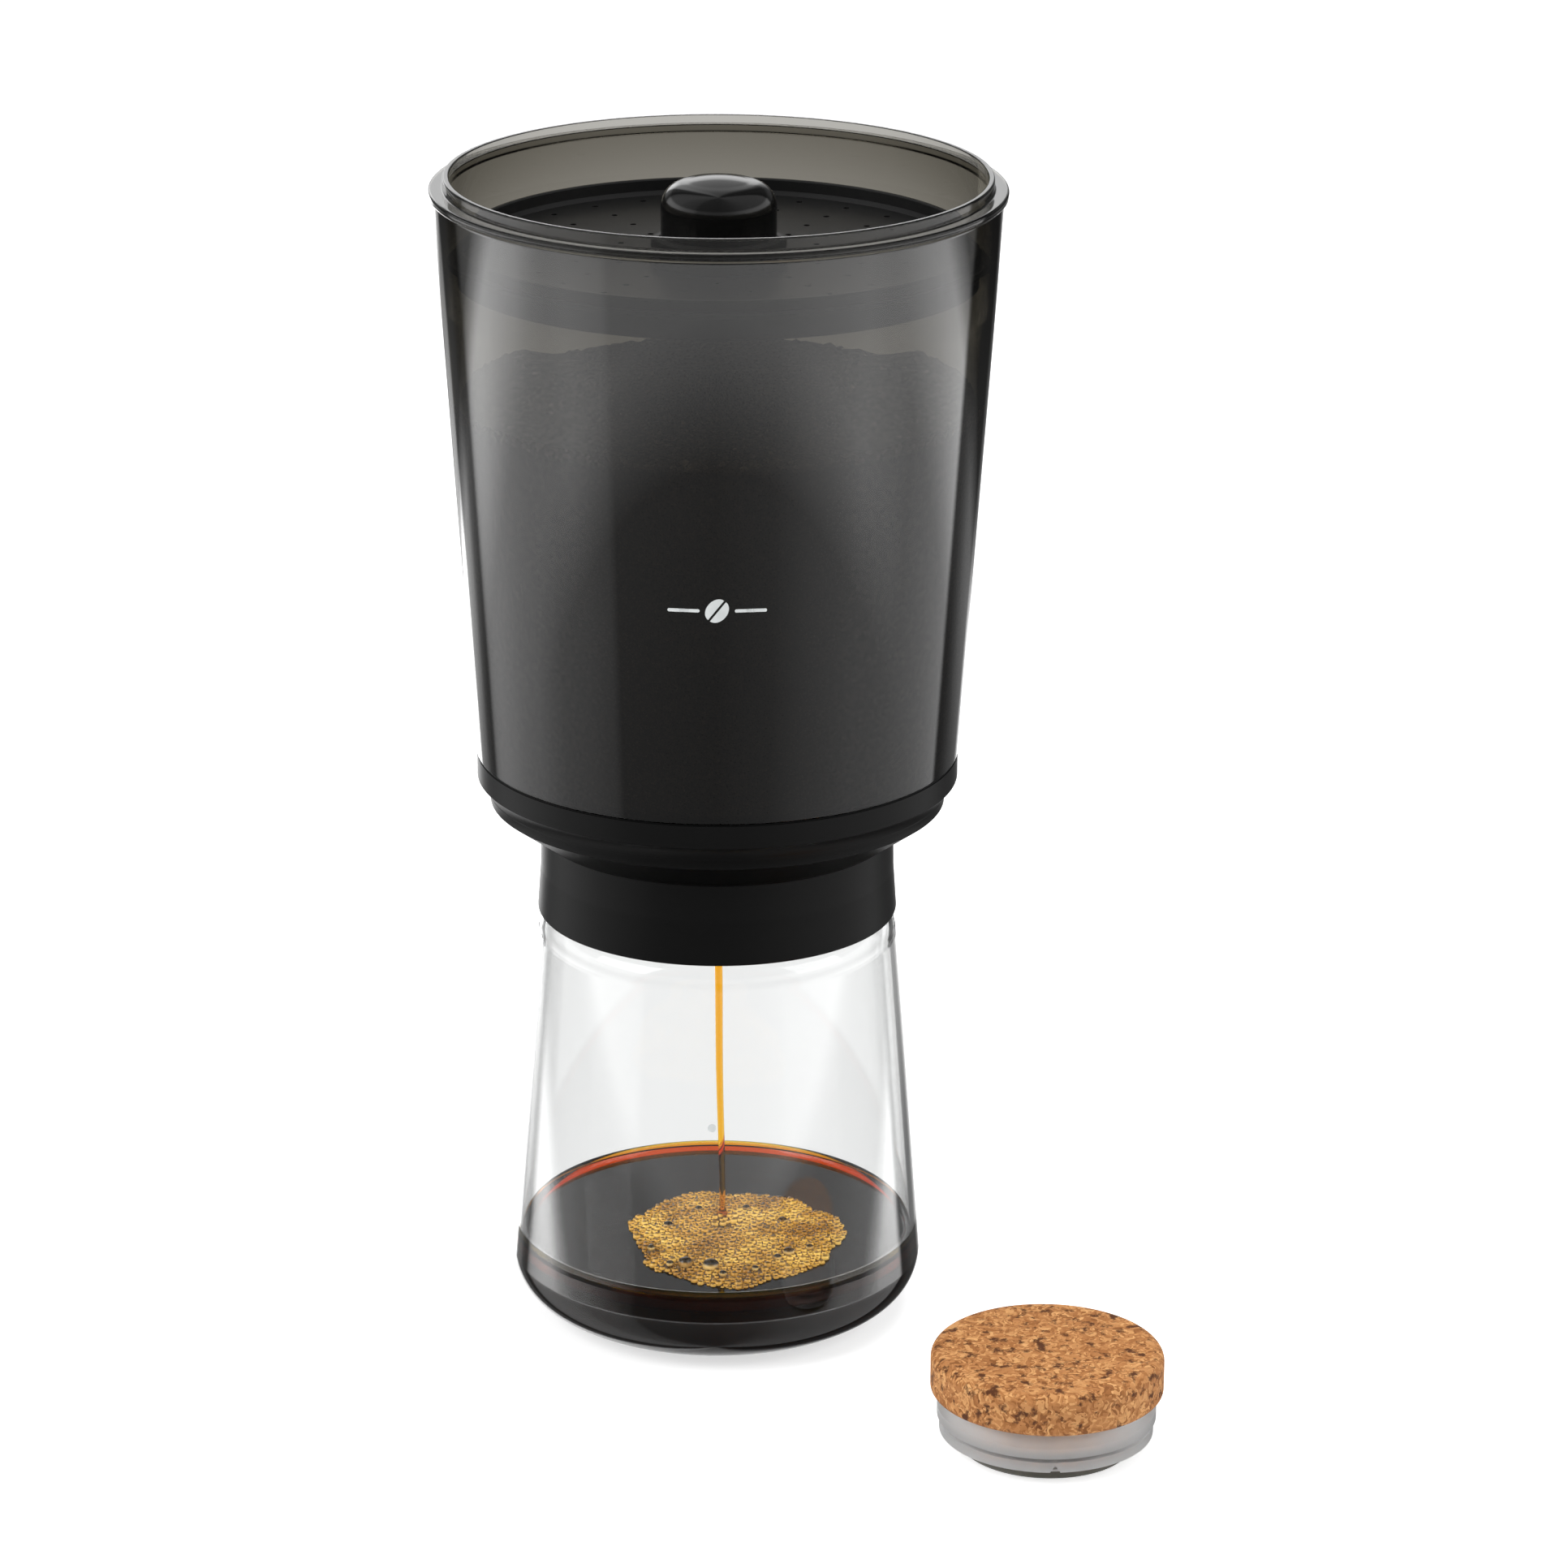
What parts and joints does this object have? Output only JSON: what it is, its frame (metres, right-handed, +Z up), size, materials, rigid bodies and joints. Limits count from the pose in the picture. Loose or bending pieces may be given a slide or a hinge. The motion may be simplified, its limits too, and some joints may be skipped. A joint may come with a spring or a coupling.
{
  "type": "cold brew coffee maker",
  "caption": "Cold brew coffee maker: smoked brewing container with filter and drain valve on a glass carafe, with a water spreading tray and a cork stopper.",
  "frame": {"origin": "centre of the carafe's flat foot, on the table", "axes": "+Z up along the carafe's and the container's axis, -Y to the front (the side with the fill mark), +X to the right seen from the front"},
  "size_m": [0.1809, 0.1865, 0.2963],
  "materials": {
    "clear_glass": "clear, polished",
    "smoked_plastic": "transparent smoke tint, glossy",
    "black_plastic": "satin",
    "matte_black_plastic": "fine matte",
    "gloss_black_plastic": "high gloss",
    "grey_silicone": "soft matte",
    "milky_silicone": "translucent, satin",
    "steel_mesh": "fine woven mesh",
    "spring_steel": "bright drawn",
    "cork": "granulated cork, dry",
    "stopper_plug": "satin"
  },
  "bodies": {
    "carafe": {"carafe_glass": "clear_glass"},
    "brewer": {"brewing_container": "smoked_plastic", "base_bowl": "black_plastic", "base_skirt": "black_plastic", "container_seal": "grey_silicone", "filter_frame": "black_plastic", "filter_mesh": "steel_mesh", "filter_gasket": "grey_silicone", "valve_seat": "grey_silicone"},
    "drain_valve": {"valve_stem": "black_plastic", "valve_disc": "grey_silicone", "valve_cap": "black_plastic", "valve_spider": "black_plastic", "rim_pad": "grey_silicone", "valve_spring": "spring_steel"},
    "rainmaker": {"rainmaker_tray": "matte_black_plastic", "rainmaker_knob": "gloss_black_plastic", "knob_screw": "spring_steel"},
    "stopper": {"stopper_cork": "cork", "stopper_seal": "milky_silicone", "stopper_disc": "stopper_plug"}
  },
  "joints": [
    {"name": "container_lift", "type": "slide", "parent": "carafe", "child": "brewer", "axis": [0, 0, 1], "range_m": [0, 0.06]},
    {"name": "valve_drop", "type": "slide", "parent": "brewer", "child": "drain_valve", "axis": [0, 0, 1], "range_m": [-0.004, 0], "deforming": ["valve_spring"]},
    {"name": "tray_lift", "type": "slide", "parent": "brewer", "child": "rainmaker", "axis": [0, 0, 1], "range_m": [0, 0.06]},
    {"name": "stopper_lift", "type": "slide", "parent": "carafe", "child": "stopper", "axis": [0, 0, 1], "range_m": [0, 0.06]}
  ],
  "couplings": [
    {"joint": "valve_drop", "follows": "container_lift", "ratio": -0.0666}
  ]
}
